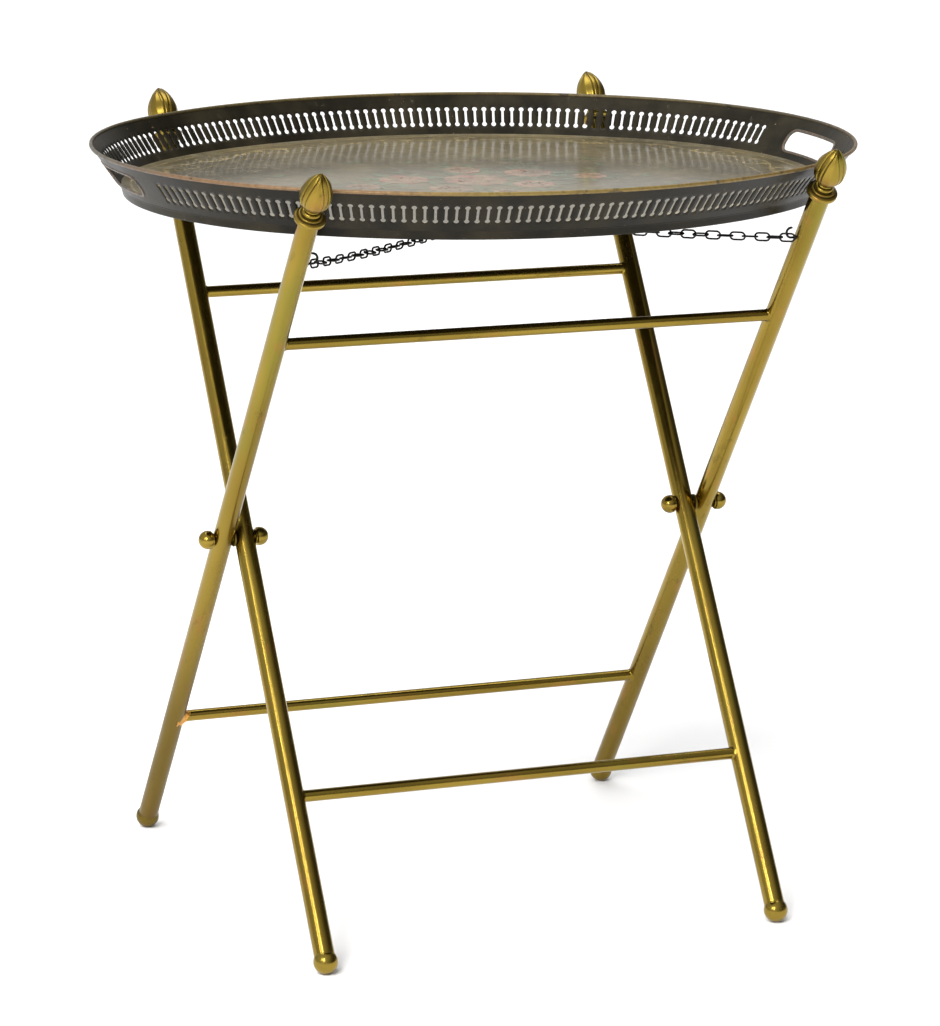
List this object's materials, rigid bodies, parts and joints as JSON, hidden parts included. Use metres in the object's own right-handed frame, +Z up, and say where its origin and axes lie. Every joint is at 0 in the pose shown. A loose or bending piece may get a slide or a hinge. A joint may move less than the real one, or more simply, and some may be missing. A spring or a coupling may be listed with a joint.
{
  "type": "folding tray table",
  "caption": "Oval gallery tray with two hand holes, resting in a folding X-frame stand of brass tube with bud finials, ball feet and crossing chains.",
  "frame": {"origin": "on the floor, below the crossing of the two frames, with the four ball feet standing on Z = 0", "axes": "+Z up; X along the tray's long axis and the pivot bolts; +Y towards the tops of the inner frame, away from the front"},
  "size_m": [0.7232, 0.5932, 0.7315],
  "materials": {
    "polished_brass": "old polished brass, lightly tarnished",
    "plain_brass": "plain turned brass",
    "steel": "plain threaded steel rod",
    "blackened_metal": "blackened iron, satin",
    "painted_floor": "old varnished paint with faded gilt scrolls and flowers, glossy and worn",
    "black_paint": "black japanned paint, satin",
    "worn_gilt": "worn gilt paint",
    "worn_copper_paint": "black paint rubbed through to copper tones"
  },
  "bodies": {
    "outer_frame": {"leg_outer_left": "polished_brass", "leg_outer_right": "polished_brass", "rail_outer_upper": "polished_brass", "rail_outer_lower": "polished_brass", "foot_outer_left": "polished_brass", "foot_outer_right": "polished_brass", "top_plugs_outer": "plain_brass", "finial_studs_outer": "steel", "collar_outer_left": "polished_brass", "collar_outer_right": "polished_brass", "finial_outer_left": "polished_brass", "finial_outer_right": "polished_brass", "pivot_bolt_left": "plain_brass", "pivot_bolt_right": "plain_brass", "pivot_washer_left": "blackened_metal", "pivot_washer_right": "blackened_metal", "cap_nut_left_outside": "polished_brass", "cap_nut_left_inside": "polished_brass", "cap_nut_right_outside": "polished_brass", "cap_nut_right_inside": "polished_brass", "hook_outer_left": "blackened_metal", "hook_outer_right": "blackened_metal", "chain_front_left": "blackened_metal", "chain_front_right": "blackened_metal"},
    "inner_frame": {"leg_inner_left": "polished_brass", "leg_inner_right": "polished_brass", "rail_inner_upper": "polished_brass", "rail_inner_lower": "polished_brass", "foot_inner_left": "polished_brass", "foot_inner_right": "polished_brass", "top_plugs_inner": "plain_brass", "finial_studs_inner": "steel", "collar_inner_left": "polished_brass", "collar_inner_right": "polished_brass", "finial_inner_left": "polished_brass", "finial_inner_right": "polished_brass", "pivot_bushes": "plain_brass", "hook_inner_left": "blackened_metal", "hook_inner_right": "blackened_metal"},
    "tray": {"tray_floor": "painted_floor", "tray_gallery": "black_paint", "rim_bead": "worn_gilt", "hand_hole_rim_left": "worn_copper_paint", "hand_hole_rim_right": "worn_copper_paint"}
  },
  "joints": [
    {"name": "fold", "type": "hinge", "parent": "outer_frame", "child": "inner_frame", "pos_m": [0, 0, 0.34873], "axis": [1, 0, 0], "range_deg": [0, 64], "deforming": ["chain_front_left", "chain_front_right"]},
    {"name": "tray_lift", "type": "slide", "parent": "outer_frame", "child": "tray", "axis": [0, -0.5664, 0.8241], "range_m": [0, 0.582]}
  ],
  "couplings": [
    {"joint": "tray_lift", "follows": "fold", "m_per_rad": 0.52}
  ]
}
